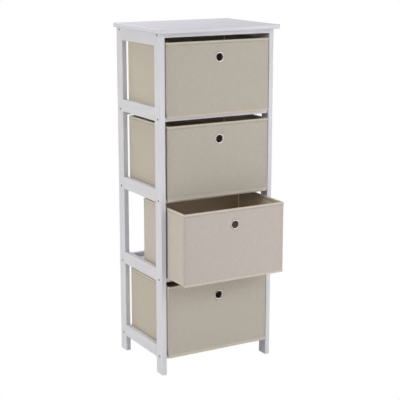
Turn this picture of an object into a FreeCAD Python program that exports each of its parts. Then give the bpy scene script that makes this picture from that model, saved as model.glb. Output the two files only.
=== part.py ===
import FreeCAD, Part
import Sketcher
import os

# Free-standing storage tower: a white timber frame, open on every side, with four
# fabric box drawers that stand on its shelves and pull straight out.
# Millimetres. +X is to the right, +Y to the back, +Z up, and the feet stand on z = 0.
# The third drawer from the top is pulled out, as photographed.

DRAWER_STATES = ("closed", "closed", "open", "closed")
TIERS = len(DRAWER_STATES)
SIDES = {"left": -1, "right": 1}
ROWS = ("front", "rear")
RAIL_DOWEL_SHARES = (0.25, 0.75)
CROSS_FIXING_SHARE = 0.25

DIMENSIONS = (
    # Side frames
    ("frame_width", 357, "outer face of one side frame to the other"),
    ("frame_depth", 266, "front of the front posts to the back of the rear posts"),
    ("stock_thickness", 14, "thickness of posts and side rails"),
    ("post_width", 35, "width of a post, front to back"),
    ("side_rail_height", 35, "height of a side rail"),
    ("arris_radius", 1, "rounding of every timber edge"),
    # Shelves and cross pieces
    ("foot_clearance", 46, "floor to the underside of the lowest shelf"),
    ("tier_pitch", 225, "one shelf to the next"),
    ("shelf_thickness", 12, "thickness of a shelf"),
    ("shelf_setback", 5, "front edge of a shelf behind the post fronts"),
    ("rear_rail_height", 35, "height of the rail behind a shelf"),
    ("rear_rail_thickness", 14, "thickness of the rail behind a shelf"),
    ("stretcher_depth", 35, "front to back size of a top stretcher"),
    ("stretcher_thickness", 12, "height of a top stretcher"),
    # Top panel
    ("top_thickness", 12, "thickness of the top panel"),
    ("top_overhang_side", 9, "top panel past the side frames"),
    ("top_overhang_front", 20, "top panel past the front posts"),
    ("top_overhang_rear", 3, "top panel past the rear posts"),
    ("top_edge_radius", 2.5, "rounding of the top panel edges"),
    # Fixings
    ("screw_head_radius", 3.2, "head of a frame screw"),
    ("screw_head_height", 3, "height of that head"),
    ("screw_recess", 0.6, "head below the post face"),
    ("screw_shank_radius", 2, "shank of a frame screw"),
    ("screw_length", 46, "under the head"),
    ("socket_radius", 1.9, "hexagon socket, across its corners, halved"),
    ("socket_depth", 2, "depth of the hexagon socket"),
    ("top_screw_head_radius", 4, "countersunk head of a top screw"),
    ("top_screw_head_height", 2, "height of that countersunk head"),
    ("top_screw_radius", 1.8, "shank of a top screw"),
    ("top_screw_length", 20, "overall length of a top screw"),
    ("dowel_radius", 3, "wooden dowel"),
    ("dowel_length", 20, "wooden dowel, half in each piece"),
    ("hole_clearance", 0.15, "gap around and beyond every fixing"),
    # Drawer boxes
    ("box_side_play", 5, "drawer box to the posts, each side"),
    ("box_rear_gap", 9.5, "closed drawer box to the rear rail"),
    ("box_head_gap", 12.7, "rim of a drawer box to the shelf above"),
    ("box_corner_radius", 2, "upright corners of a drawer box"),
    ("box_proud", 6, "closed drawer past the post fronts"),
    ("open_travel", 87, "open drawer past the closed ones"),
    ("slide_clearance", 0.3, "box underside above its shelf"),
    ("fabric_thickness", 1, "cover cloth and lining cloth"),
    ("board_thickness", 3, "stiffening board in a wall"),
    ("base_thickness", 4, "loose base board"),
    ("pocket_clearance", 0.2, "play of a board in its pocket"),
    ("rim_depth", 2, "cloth folded over the boards at the rim"),
    ("hem_drop", 3, "front hem below the underside"),
    ("hem_thickness", 2, "front hem"),
    # Eyelet
    ("eyelet_below_rim", 45, "rim to the middle of the finger hole"),
    ("eyelet_hole_radius", 10, "finger hole"),
    ("eyelet_flange_width", 5, "front flange, from the hole outwards"),
    ("eyelet_flange_height", 2, "crown of the front flange"),
    ("eyelet_wall", 0.6, "sheet metal of the barrel"),
    ("eyelet_lip_width", 1.9, "rolled lip at the back, from the barrel outwards"),
    ("eyelet_lip_height", 0.9, "crown of the rolled lip"),
    ("washer_width", 3.2, "washer under the rolled lip, from its hole outwards"),
    ("washer_thickness", 0.8, "washer under the rolled lip"),
    # Every cut runs this far past the face that it opens
    ("overrun", 5, "cutting shapes past the face"),
)

doc = FreeCAD.newDocument("storage_tower")
sheet = doc.addObject("Spreadsheet::Sheet", "dims")
for row_number, (alias, amount, meaning) in enumerate(DIMENSIONS, start=1):
    sheet.set(f"A{row_number}", meaning)
    sheet.set(f"B{row_number}", str(amount))
    sheet.setAlias(f"B{row_number}", alias)
doc.recompute()

# Places that several pieces share, worked out from the sheet
BAY = "(dims.frame_width - 2 * dims.stock_thickness)"
OPEN_REACH = "(dims.box_proud + dims.open_travel + dims.eyelet_flange_height)"
FRONT = f"(({OPEN_REACH} - dims.frame_depth - dims.top_overhang_rear) / 2)"
REAR = f"({FRONT} + dims.frame_depth)"
POST_AXIS = {
    "front": f"({FRONT} + dims.post_width / 2)",
    "rear": f"({REAR} - dims.post_width / 2)",
}
RAIL_LENGTH = "(dims.frame_depth - 2 * dims.post_width)"
REAR_RAIL_FRONT = f"({POST_AXIS['rear']} - dims.rear_rail_thickness / 2)"
CROSS_FIXING_PLACES = {side: f"({sign} * {CROSS_FIXING_SHARE} * {BAY})" for side, sign in SIDES.items()}
DOWEL_HALF = "(dims.dowel_length / 2)"
DOWEL_HOLE_RADIUS = "(dims.dowel_radius + dims.hole_clearance)"
BOX_WIDTH = f"({BAY} - 2 * dims.box_side_play)"
BOX_DEPTH = f"({REAR_RAIL_FRONT} - dims.box_rear_gap - {FRONT} + dims.box_proud)"
BOX_HEIGHT = "(dims.tier_pitch - dims.shelf_thickness - dims.slide_clearance - dims.box_head_gap)"
BOX_WALL = "(2 * dims.fabric_thickness + dims.board_thickness + 2 * dims.pocket_clearance)"
BARREL_RADIUS = "(dims.eyelet_hole_radius + dims.eyelet_wall)"
EYELET_CLEARANCE_RADIUS = f"({BARREL_RADIUS} + dims.pocket_clearance)"
FLANGE_RADIUS = "(dims.eyelet_hole_radius + dims.eyelet_flange_width)"
LIP_RADIUS = f"({BARREL_RADIUS} + dims.eyelet_lip_width)"
WASHER_RADIUS = f"({EYELET_CLEARANCE_RADIUS} + dims.washer_width)"


def shelf_underside(level):
    """Height of the underside of a shelf, counted from the lowest; TIERS is the top stretchers."""
    return f"({level} * dims.tier_pitch + dims.foot_clearance)"


def fixing_height(level):
    """Height of the screws that hold a shelf, or the top stretchers."""
    thickness = "dims.stretcher_thickness" if level == TIERS else "dims.shelf_thickness"
    return f"({shelf_underside(level)} + {thickness} / 2)"


POST_HEIGHT = f"({shelf_underside(TIERS)} + dims.stretcher_thickness)"


def side_rail_underside(level):
    """Side rails are level with the shelf undersides; the highest is level with the post tops."""
    if level == TIERS:
        return f"({POST_HEIGHT} - dims.side_rail_height)"
    return shelf_underside(level)


def side_rail_dowel_heights(level):
    """The two dowels in each end of a side rail."""
    low = side_rail_underside(level)
    return [f"({low} + {share} * dims.side_rail_height)" for share in RAIL_DOWEL_SHARES]


HEADINGS = {
    "+x": FreeCAD.Rotation(FreeCAD.Vector(0, 1, 0), 90),
    "-x": FreeCAD.Rotation(FreeCAD.Vector(0, 1, 0), -90),
    "+y": FreeCAD.Rotation(FreeCAD.Vector(1, 0, 0), -90),
    "+z": FreeCAD.Rotation(),
}
INWARD = {"left": "+x", "right": "-x"}
BOX_EDGES = range(1, 13)
nodes = []


def keep(label, shape_object):
    """Record a finished piece under the name a person would use for it."""
    shape_object.Label = label
    nodes.append(shape_object)
    return shape_object


def place(shape_object, corner):
    for axis, expression in zip("xyz", corner):
        shape_object.setExpression(f"Placement.Base.{axis}", expression)


def block(name, size, corner):
    """A square-cornered block from its low corner."""
    box = doc.addObject("Part::Box", name)
    for prop, expression in zip(("Length", "Width", "Height"), size):
        box.setExpression(prop, expression)
    place(box, corner)
    return box


def rod(name, radius, length, start, heading):
    """A round bar from the middle of its first end."""
    bar = doc.addObject("Part::Cylinder", name)
    bar.Placement.Rotation = HEADINGS[heading]
    bar.setExpression("Radius", radius)
    bar.setExpression("Height", length)
    place(bar, start)
    return bar


def eased(name, base, radius_alias, edges=BOX_EDGES):
    """The block with its edges rounded."""
    radius = sheet.get(radius_alias)
    rounded = doc.addObject("Part::Fillet", name)
    rounded.Base = base
    rounded.Edges = [(edge, radius, radius) for edge in edges]
    return rounded


def drilled(name, base, holes):
    """The piece with its drilled holes taken out."""
    if len(holes) > 1:
        drills = doc.addObject("Part::MultiFuse", f"{name}_drills")
        drills.Shapes = holes
    else:
        drills = holes[0]
    cut = doc.addObject("Part::Cut", name)
    cut.Base = base
    cut.Tool = drills
    return cut


def timber(label, size, corner, holes, radius_alias="arris_radius"):
    """A painted board with rounded edges and drilled holes."""
    rounded = eased(f"{label}_rounded", block(f"{label}_blank", size, corner), radius_alias)
    return keep(label, drilled(label, rounded, holes))


def dowel_hole(name, x, joint_y, z):
    """A hole for one dowel, centred on the joint, so that both pieces can be drilled with it."""
    length = "(dims.dowel_length + 2 * dims.hole_clearance)"
    start = (x, f"({joint_y} - {DOWEL_HALF} - dims.hole_clearance)", z)
    return rod(name, DOWEL_HOLE_RADIUS, length, start, "+y")


def outer_face(side):
    return f"({SIDES[side]} * dims.frame_width / 2)"


def side_rail_middle(side):
    return f"({SIDES[side]} * (dims.frame_width - dims.stock_thickness) / 2)"


def side_joint(row):
    """Where the side rails meet the front or the rear posts."""
    return f"({FRONT} + dims.post_width)" if row == "front" else f"({REAR} - dims.post_width)"


def screw_head_start(side):
    return f"({outer_face(side)} - {SIDES[side]} * dims.screw_recess)"


def screw_holes(name, side, row, level):
    """Counterbore and shank hole of one frame screw, right through the post and into its end grain."""
    outside = f"({outer_face(side)} + {SIDES[side]} * dims.overrun)"
    start = (outside, POST_AXIS[row], fixing_height(level))
    bore_depth = "(dims.overrun + dims.screw_recess + dims.screw_head_height)"
    hole_depth = f"({bore_depth} + dims.screw_length + dims.hole_clearance)"
    head_radius = "(dims.screw_head_radius + dims.hole_clearance)"
    shank_radius = "(dims.screw_shank_radius + dims.hole_clearance)"
    bore = rod(f"{name}_bore", head_radius, bore_depth, start, INWARD[side])
    shank = rod(f"{name}_hole", shank_radius, hole_depth, start, INWARD[side])
    return [bore, shank]


# Side frames: two posts a side, joined by five dowelled rails

def build_post(side, row):
    label = f"{row}_{side}_post"
    low_x = outer_face(side) if side == "left" else f"({outer_face(side)} - dims.stock_thickness)"
    low_y = FRONT if row == "front" else f"({REAR} - dims.post_width)"
    holes = []
    for level in range(TIERS + 1):
        holes += screw_holes(f"{label}_{level}", side, row, level)
        for pick, height in enumerate(side_rail_dowel_heights(level)):
            name = f"{label}_dowel_{level}_{pick}"
            holes.append(dowel_hole(name, side_rail_middle(side), side_joint(row), height))
    timber(label, ("dims.stock_thickness", "dims.post_width", POST_HEIGHT), (low_x, low_y, "0"), holes)


def build_side_rail(side, level):
    label = f"{side}_side_rail_{level + 1}"
    low_x = outer_face(side) if side == "left" else f"({outer_face(side)} - dims.stock_thickness)"
    holes = []
    for row in ROWS:
        for pick, height in enumerate(side_rail_dowel_heights(level)):
            name = f"{label}_{row}_{pick}"
            holes.append(dowel_hole(name, side_rail_middle(side), side_joint(row), height))
    size = ("dims.stock_thickness", RAIL_LENGTH, "dims.side_rail_height")
    timber(label, size, (low_x, side_joint("front"), side_rail_underside(level)), holes)


# Cross pieces between the side frames

def build_shelf(level):
    """A shelf is screwed through the front posts and dowelled to the rail behind it."""
    label = f"shelf_{level + 1}"
    front_edge = f"({FRONT} + dims.shelf_setback)"
    holes = []
    for side in SIDES:
        holes += screw_holes(f"{label}_{side}", side, "front", level)
        name = f"{label}_dowel_{side}"
        holes.append(dowel_hole(name, CROSS_FIXING_PLACES[side], REAR_RAIL_FRONT, fixing_height(level)))
    size = (BAY, f"({REAR_RAIL_FRONT} - {front_edge})", "dims.shelf_thickness")
    timber(label, size, (f"(-{BAY} / 2)", front_edge, shelf_underside(level)), holes)


def build_rear_rail(level):
    """The rail behind a shelf braces the open back and stops the drawer."""
    label = f"rear_rail_{level + 1}"
    holes = []
    for side in SIDES:
        holes += screw_holes(f"{label}_{side}", side, "rear", level)
        name = f"{label}_dowel_{side}"
        holes.append(dowel_hole(name, CROSS_FIXING_PLACES[side], REAR_RAIL_FRONT, fixing_height(level)))
    low_z = f"({fixing_height(level)} - dims.rear_rail_height / 2)"
    size = (BAY, "dims.rear_rail_thickness", "dims.rear_rail_height")
    timber(label, size, (f"(-{BAY} / 2)", REAR_RAIL_FRONT, low_z), holes)


STRETCHER_FRONT = {"front": FRONT, "rear": f"({REAR} - dims.stretcher_depth)"}


def top_screw_places():
    """The four screws that hold the top panel from below."""
    for row in ROWS:
        for side in SIDES:
            middle_y = f"({STRETCHER_FRONT[row]} + dims.stretcher_depth / 2)"
            yield f"{row}_{side}", row, (CROSS_FIXING_PLACES[side], middle_y)


def top_screw_holes(name, spot):
    """Countersink and shank hole of one top screw."""
    start = (*spot, shelf_underside(TIERS))
    shank_radius = "(dims.top_screw_radius + dims.hole_clearance)"
    hole_depth = "(dims.top_screw_length + dims.hole_clearance)"
    sink = doc.addObject("Part::Cone", f"{name}_countersink")
    sink.setExpression("Radius1", "dims.top_screw_head_radius + dims.hole_clearance")
    sink.setExpression("Radius2", shank_radius)
    sink.setExpression("Height", "dims.top_screw_head_height + dims.hole_clearance")
    place(sink, start)
    shank = rod(f"{name}_shank_hole", shank_radius, hole_depth, start, "+z")
    return [sink, shank]


def build_stretcher(row):
    label = f"top_{row}_stretcher"
    holes = []
    for side in SIDES:
        holes += screw_holes(f"{label}_{side}", side, row, TIERS)
    for name, screw_row, spot in top_screw_places():
        if screw_row == row:
            holes += top_screw_holes(f"{label}_{name}", spot)
    size = (BAY, "dims.stretcher_depth", "dims.stretcher_thickness")
    timber(label, size, (f"(-{BAY} / 2)", STRETCHER_FRONT[row], shelf_underside(TIERS)), holes)


def build_top_panel():
    holes = []
    for name, _, spot in top_screw_places():
        holes += top_screw_holes(f"top_panel_{name}", spot)
    size = (
        "(dims.frame_width + 2 * dims.top_overhang_side)",
        "(dims.frame_depth + dims.top_overhang_front + dims.top_overhang_rear)",
        "dims.top_thickness",
    )
    corner = (
        "(-dims.frame_width / 2 - dims.top_overhang_side)",
        f"({FRONT} - dims.top_overhang_front)",
        POST_HEIGHT,
    )
    timber("top_panel", size, corner, holes, "top_edge_radius")


# Fixings: each kind is one group of separate solids

def group(label, pieces):
    bundle = doc.addObject("Part::Compound", label)
    bundle.Links = pieces
    return keep(label, bundle)


def frame_screw(name, side, row, level):
    """A socket-headed screw, its head just below the post face."""
    spot = (screw_head_start(side), POST_AXIS[row], fixing_height(level))
    head = rod(f"{name}_head", "dims.screw_head_radius", "dims.screw_head_height", spot, INWARD[side])
    whole = "(dims.screw_head_height + dims.screw_length)"
    shank = rod(f"{name}_shank", "dims.screw_shank_radius", whole, spot, INWARD[side])
    body = doc.addObject("Part::Fuse", f"{name}_body")
    body.Base = head
    body.Tool = shank
    socket = doc.addObject("Part::Prism", f"{name}_socket")
    socket.Placement.Rotation = HEADINGS[INWARD[side]]
    socket.setExpression("Circumradius", "dims.socket_radius")
    socket.setExpression("Height", "dims.socket_depth")
    place(socket, spot)
    screw = doc.addObject("Part::Cut", name)
    screw.Base = body
    screw.Tool = socket
    return screw


def build_frame_screws():
    screws = []
    for side in SIDES:
        for row in ROWS:
            for level in range(TIERS + 1):
                screws.append(frame_screw(f"frame_screw_{side}_{row}_{level}", side, row, level))
    group("frame_screws", screws)


def build_top_screws():
    screws = []
    for name, _, spot in top_screw_places():
        start = (*spot, shelf_underside(TIERS))
        head = doc.addObject("Part::Cone", f"top_screw_{name}_head")
        head.setExpression("Radius1", "dims.top_screw_head_radius")
        head.setExpression("Radius2", "dims.top_screw_radius")
        head.setExpression("Height", "dims.top_screw_head_height")
        place(head, start)
        shank = rod(f"top_screw_{name}_shank", "dims.top_screw_radius", "dims.top_screw_length", start, "+z")
        screw = doc.addObject("Part::Fuse", f"top_screw_{name}")
        screw.Base = head
        screw.Tool = shank
        screws.append(screw)
    group("top_screws", screws)


def dowel(name, x, joint_y, z):
    start = (x, f"({joint_y} - {DOWEL_HALF})", z)
    return rod(name, "dims.dowel_radius", "dims.dowel_length", start, "+y")


def build_dowels():
    dowels = []
    for level in range(TIERS + 1):
        for side in SIDES:
            for row in ROWS:
                for pick, height in enumerate(side_rail_dowel_heights(level)):
                    name = f"rail_dowel_{side}_{row}_{level}_{pick}"
                    dowels.append(dowel(name, side_rail_middle(side), side_joint(row), height))
            if level < TIERS:
                name = f"shelf_dowel_{side}_{level}"
                dowels.append(dowel(name, CROSS_FIXING_PLACES[side], REAR_RAIL_FRONT, fixing_height(level)))
    group("wood_dowels", dowels)


# Drawer boxes: one cloth cover with pockets, stiffened by boards, and a metal eyelet as finger pull

def box_front(number):
    """Front face of a drawer, counted from the top."""
    travel = "dims.open_travel" if DRAWER_STATES[number - 1] == "open" else "0"
    return f"({FRONT} - dims.box_proud - {travel})"


def box_underside(number):
    return f"({shelf_underside(TIERS - number)} + dims.shelf_thickness + dims.slide_clearance)"


def eyelet_height(number):
    return f"({box_underside(number)} + {BOX_HEIGHT} - dims.eyelet_below_rim)"


def inset_block(name, number, inset, low_z, high_z):
    """A block inside the drawer box, the same distance in from all four walls."""
    size = (f"({BOX_WIDTH} - 2 * {inset})", f"({BOX_DEPTH} - 2 * {inset})", f"({high_z} - {low_z})")
    corner = (
        f"(-{BOX_WIDTH} / 2 + {inset})",
        f"({box_front(number)} + {inset})",
        f"({box_underside(number)} + {low_z})",
    )
    return block(name, size, corner)


def eyelet_hole(name, number):
    start = ("0", f"({box_front(number)} - dims.overrun)", eyelet_height(number))
    return rod(name, EYELET_CLEARANCE_RADIUS, f"({BOX_WALL} + 2 * dims.overrun)", start, "+y")


def upright_edges(shape):
    """Numbers of the edges that run straight up."""
    found = []
    for index, edge in enumerate(shape.Edges, start=1):
        direction = edge.tangentAt(edge.FirstParameter)
        if abs(direction.z) > abs(direction.x) + abs(direction.y):
            found.append(index)
    return found


def build_cover(number):
    """Cloth over the outside and down the inside, with the board pockets between, open at the bottom."""
    label = f"drawer_{number}_fabric_cover"
    lining_foot = "(dims.fabric_thickness + dims.base_thickness + dims.pocket_clearance)"
    lining_inset = f"({BOX_WALL} - dims.fabric_thickness)"
    outside = inset_block(f"{label}_outside", number, "0", "0", BOX_HEIGHT)
    doc.recompute()
    rounded = eased(f"{label}_rounded", outside, "box_corner_radius", upright_edges(outside.Shape))
    cloth = "dims.fabric_thickness"
    pocket = inset_block(f"{label}_pocket", number, cloth, cloth, f"({BOX_HEIGHT} - dims.rim_depth)")
    skin = doc.addObject("Part::Cut", f"{label}_skin")
    skin.Base = rounded
    skin.Tool = pocket
    lining = inset_block(f"{label}_lining", number, lining_inset, lining_foot, BOX_HEIGHT)
    hem = block(
        f"{label}_hem",
        (
            f"({BOX_WIDTH} - 2 * dims.box_corner_radius)",
            "dims.hem_thickness",
            "(dims.hem_drop + dims.fabric_thickness)",
        ),
        (
            f"(-{BOX_WIDTH} / 2 + dims.box_corner_radius)",
            box_front(number),
            f"({box_underside(number)} - dims.hem_drop)",
        ),
    )
    sewn = doc.addObject("Part::MultiFuse", f"{label}_sewn")
    sewn.Shapes = [skin, lining, hem]
    inside_top = f"({BOX_HEIGHT} + dims.overrun)"
    inside_low = f"({lining_foot} - dims.pocket_clearance)"
    inside = inset_block(f"{label}_inside", number, BOX_WALL, inside_low, inside_top)
    keep(label, drilled(label, sewn, [inside, eyelet_hole(f"{label}_eyelet_hole", number)]))


def build_wall_boards(number):
    """Front and back boards run full width; the side boards stand between them."""
    inset = "(dims.fabric_thickness + dims.pocket_clearance)"
    low_z = f"({box_underside(number)} + dims.fabric_thickness)"
    height = f"({BOX_HEIGHT} - dims.rim_depth - dims.fabric_thickness - dims.pocket_clearance)"
    low_x = f"(-{BOX_WIDTH} / 2 + {inset})"
    low_y = f"({box_front(number)} + {inset})"
    back_y = f"({box_front(number)} + {BOX_DEPTH} - {inset} - dims.board_thickness)"
    right_x = f"({BOX_WIDTH} / 2 - {inset} - dims.board_thickness)"
    wide = (f"({BOX_WIDTH} - 2 * {inset})", "dims.board_thickness", height)
    between_y = f"({low_y} + dims.board_thickness + dims.pocket_clearance)"
    deep = ("dims.board_thickness", f"({back_y} - dims.pocket_clearance - {between_y})", height)
    label = f"drawer_{number}_front_board"
    blank = block(f"{label}_blank", wide, (low_x, low_y, low_z))
    keep(label, drilled(label, blank, [eyelet_hole(f"{label}_hole", number)]))
    plain = (
        ("back", wide, (low_x, back_y, low_z)),
        ("left", deep, (low_x, between_y, low_z)),
        ("right", deep, (right_x, between_y, low_z)),
    )
    for wall, size, corner in plain:
        keep(f"drawer_{number}_{wall}_board", block(f"drawer_{number}_{wall}_board", size, corner))


def build_base_board(number):
    label = f"drawer_{number}_base_board"
    inset = "(dims.fabric_thickness + dims.board_thickness + 2 * dims.pocket_clearance)"
    low_z = "dims.fabric_thickness"
    high_z = "(dims.fabric_thickness + dims.base_thickness)"
    keep(label, inset_block(label, number, inset, low_z, high_z))


def origin_plane(body, role):
    return next(item for item in body.Origin.OriginFeatures if item.Role == role)


def turned_ring(label, number, outline):
    """A ring turned about the finger hole's axis; outline draws half its section in an empty sketch."""
    body = doc.addObject("PartDesign::Body", label)
    sketch = body.newObject("Sketcher::SketchObject", f"{label}_section")
    sketch.AttachmentSupport = (origin_plane(body, "XY_Plane"), [""])
    sketch.MapMode = "FlatFace"
    outline(sketch)
    doc.recompute()
    turned = body.newObject("PartDesign::Revolution", f"{label}_turned")
    turned.Profile = sketch
    turned.ReferenceAxis = (sketch, ["V_Axis"])
    turned.Angle = 360
    place(body, ("0", box_front(number), eyelet_height(number)))
    return keep(label, body)


def bind(sketch, constraint, expression):
    number = sketch.addConstraint(constraint)
    sketch.setExpression(f"Constraints[{number}]", expression)


def value(expression):
    """The present value of an expression of the sheet."""
    return float(sheet.evalExpression(expression))


def draw_section(sketch, corners, arcs):
    """Join corners, given as (across, along) expressions, by lines or crowned arcs.

    arcs maps the number of a corner to the (crown height, side) of the arc that leaves it.
    """
    points = [FreeCAD.Vector(value(across), value(along), 0) for across, along in corners]
    ends = []
    for index, point in enumerate(points):
        following = points[(index + 1) % len(points)]
        if index in arcs:
            crown, side = arcs[index]
            middle = (point + following) / 2 + FreeCAD.Vector(0, side * value(crown), 0)
            curve = Part.Arc(point, middle, following)
            geometry = sketch.addGeometry(curve, False)
            from_start = curve.StartPoint.distanceToPoint(point)
            from_end = curve.EndPoint.distanceToPoint(point)
            first = 1 if from_start < from_end else 2
        else:
            geometry = sketch.addGeometry(Part.LineSegment(point, following), False)
            first = 1
        ends.append((geometry, first, 3 - first))
    for index, (geometry, first, last) in enumerate(ends):
        next_geometry, next_first, _ = ends[(index + 1) % len(ends)]
        sketch.addConstraint(Sketcher.Constraint("Coincident", geometry, last, next_geometry, next_first))
        across, along = corners[index]
        bind(sketch, Sketcher.Constraint("DistanceX", -1, 1, geometry, first, points[index].x), across)
        if value(along) == 0:
            sketch.addConstraint(Sketcher.Constraint("PointOnObject", geometry, first, -1))
        else:
            bind(sketch, Sketcher.Constraint("DistanceY", -1, 1, geometry, first, points[index].y), along)
        if index in arcs:
            crown, _ = arcs[index]
            chord = f"abs({corners[(index + 1) % len(corners)][0]} - {across})"
            radius = f"(({chord} * {chord} / 4 + {crown} * {crown}) / (2 * {crown}))"
            bind(sketch, Sketcher.Constraint("Radius", geometry, sketch.Geometry[geometry].Radius), radius)


def build_eyelet(number):
    """Crowned front flange, barrel through the wall, and a lip rolled over the washer behind it."""
    seat = f"({BOX_WALL} + dims.washer_thickness)"
    corners = (
        ("dims.eyelet_hole_radius", "0"),
        (FLANGE_RADIUS, "0"),
        (BARREL_RADIUS, "0"),
        (BARREL_RADIUS, seat),
        (LIP_RADIUS, seat),
        ("dims.eyelet_hole_radius", seat),
    )
    arcs = {0: ("dims.eyelet_flange_height", -1), 4: ("dims.eyelet_lip_height", 1)}
    turned_ring(f"drawer_{number}_eyelet", number, lambda sketch: draw_section(sketch, corners, arcs))


def build_washer(number):
    corners = (
        (EYELET_CLEARANCE_RADIUS, BOX_WALL),
        (WASHER_RADIUS, BOX_WALL),
        (WASHER_RADIUS, f"({BOX_WALL} + dims.washer_thickness)"),
        (EYELET_CLEARANCE_RADIUS, f"({BOX_WALL} + dims.washer_thickness)"),
    )
    turned_ring(f"drawer_{number}_eyelet_washer", number, lambda sketch: draw_section(sketch, corners, {}))


for side in SIDES:
    for row in ROWS:
        build_post(side, row)
    for level in range(TIERS + 1):
        build_side_rail(side, level)
for level in range(TIERS):
    build_shelf(level)
    build_rear_rail(level)
for row in ROWS:
    build_stretcher(row)
build_top_panel()
build_frame_screws()
build_top_screws()
build_dowels()
for number in range(1, TIERS + 1):
    build_cover(number)
    build_wall_boards(number)
    build_base_board(number)
    build_eyelet(number)
    build_washer(number)
doc.recompute()

for item in doc.Objects:
    if "Invalid" in item.State or "Error" in item.State:
        raise RuntimeError(f"{item.Label} did not build: {item.State}")
for node in nodes:
    if node.Shape.isNull() or not node.Shape.isValid():
        raise RuntimeError(f"{node.Label} has no valid shape")

os.makedirs("parts", exist_ok=True)
for node in nodes:
    node.Shape.exportStep(f"parts/{node.Label}.step")
    print(node.Label, len(node.Shape.Solids), "solid(s)", round(node.Shape.Volume), "cubic mm")
print(len(nodes), "nodes")
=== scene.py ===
# %% [markdown]
# # A storage tower with four fabric box drawers
#
# The real object is an open timber tower, painted white, with four sewn boxes of natural cloth that
# stand on its shelves and pull straight out. One box stands open.
#
# The timber, the screws and the metal eyelets were drawn to size in CAD, so this lesson loads them as a
# fixed frame and only gives them a finish. Cloth is where CAD stops: a block has no hem, stitch or
# weave. Those are made here.

# %% Load the CAD model and keep its size
import math

import bmesh
import bpy
from mathutils import Matrix, Vector, noise


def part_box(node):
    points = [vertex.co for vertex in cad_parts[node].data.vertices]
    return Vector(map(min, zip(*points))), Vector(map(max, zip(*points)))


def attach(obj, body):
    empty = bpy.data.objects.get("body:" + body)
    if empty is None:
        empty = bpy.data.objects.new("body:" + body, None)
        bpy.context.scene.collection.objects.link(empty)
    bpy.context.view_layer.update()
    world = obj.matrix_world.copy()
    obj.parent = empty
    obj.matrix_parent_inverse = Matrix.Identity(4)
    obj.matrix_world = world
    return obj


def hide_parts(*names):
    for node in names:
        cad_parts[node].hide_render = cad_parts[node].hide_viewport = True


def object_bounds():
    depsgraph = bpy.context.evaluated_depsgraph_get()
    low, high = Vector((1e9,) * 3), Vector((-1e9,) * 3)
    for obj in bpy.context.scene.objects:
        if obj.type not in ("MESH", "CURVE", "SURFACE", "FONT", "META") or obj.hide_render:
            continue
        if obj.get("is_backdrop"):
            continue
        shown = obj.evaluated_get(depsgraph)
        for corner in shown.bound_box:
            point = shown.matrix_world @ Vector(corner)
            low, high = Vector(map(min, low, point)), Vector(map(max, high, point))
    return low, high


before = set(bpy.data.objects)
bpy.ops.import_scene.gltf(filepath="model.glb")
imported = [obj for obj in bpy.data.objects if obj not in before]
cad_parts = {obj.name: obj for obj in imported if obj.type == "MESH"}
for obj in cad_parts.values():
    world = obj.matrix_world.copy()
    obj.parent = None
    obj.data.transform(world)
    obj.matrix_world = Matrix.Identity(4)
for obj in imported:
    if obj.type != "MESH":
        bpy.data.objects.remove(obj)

cad_low, cad_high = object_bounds()
scene = bpy.context.scene
print("CAD box in metres:", [round(size, 4) for size in cad_high - cad_low], "nodes:", len(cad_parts))

# %% [markdown]
# ## The camera
#
# A camera can be placed by eye, or worked out. This one was worked out: the corners of the posts, the
# rows of screws and the top panel were measured in the photograph, and the camera that sees them in
# those places was solved for. It stands to the left of the front, above the tower's top, and looks down
# on it with a long lens.

# %% Place the camera
CAMERA_PLACE = (-1.5723, -2.7562, 1.2063)
CAMERA_TURN = math.radians(29.578)
CAMERA_DIP = math.radians(13.05)
IMAGE_WIDTH = 400
FOCAL_LENGTH_PIXELS = 1136

camera_data = bpy.data.cameras.new("camera")
camera_data.lens = camera_data.sensor_width * FOCAL_LENGTH_PIXELS / IMAGE_WIDTH
camera = bpy.data.objects.new("camera", camera_data)
camera.location = CAMERA_PLACE
camera.rotation_euler = (math.pi / 2 - CAMERA_DIP, 0, -CAMERA_TURN)
scene.collection.objects.link(camera)
scene.camera = camera
print("lens:", round(camera_data.lens, 1), "mm")

# %% [markdown]
# ## A white studio
#
# The photograph was taken in even, soft light on white. Even light comes from all round, so a pale world
# does most of the work, and large lamps only lean it: the left is a little warmer and brighter than the
# front, and the top is brightest at its back. A broad sun in front stands for a bright sky. It is as
# strong at the floor as at the top, and it is cool, so the shadow that the open box throws on the box
# below turns out warm. A fill keeps the back and the right from going grey; it stands lower than the top
# panel, which would mirror it. For the camera alone, the floor glows and the air is brighter, so that
# both look white and yet add no more light. Colours are written as everyday 0 to 255 numbers and turned
# into the linear light that Blender works in.

# %% Colours and the shared way of adding nodes
def chip(red, green, blue):
    """A linear colour from its 0 to 255 numbers, by the standard sRGB curve."""
    def linear(channel):
        share = channel / 255
        return share / 12.92 if share <= 0.04045 else ((share + 0.055) / 1.055) ** 2.4
    return (linear(red), linear(green), linear(blue), 1)


def add(tree, kind, inputs=None, **options):
    """Add a node. Options are its settings; inputs are its sockets, as values or as links."""
    made = tree.nodes.new(kind)
    for option, choice in options.items():
        setattr(made, option, choice)
    for socket, given in (inputs or {}).items():
        if isinstance(given, bpy.types.NodeSocket):
            tree.links.new(given, made.inputs[socket])
        else:
            made.inputs[socket].default_value = given
    return made


def calc(tree, operation, first, second=0.0):
    """One sum of a Math node."""
    return add(tree, "ShaderNodeMath", {0: first, 1: second}, operation=operation).outputs[0]


def blend_colours(tree, share, first, second):
    """A colour between two, by a share from 0 to 1."""
    mixed = add(tree, "ShaderNodeMix", {0: share, 6: first, 7: second}, data_type="RGBA")
    return mixed.outputs[2]


def new_material(name):
    """A new material, its node tree and its main shader."""
    material = bpy.data.materials.new(name)
    material.use_nodes = True
    tree = material.node_tree
    return material, tree, tree.nodes["Principled BSDF"]


scene.view_settings.view_transform = "Standard"
print("view transform:", scene.view_settings.view_transform)

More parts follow.
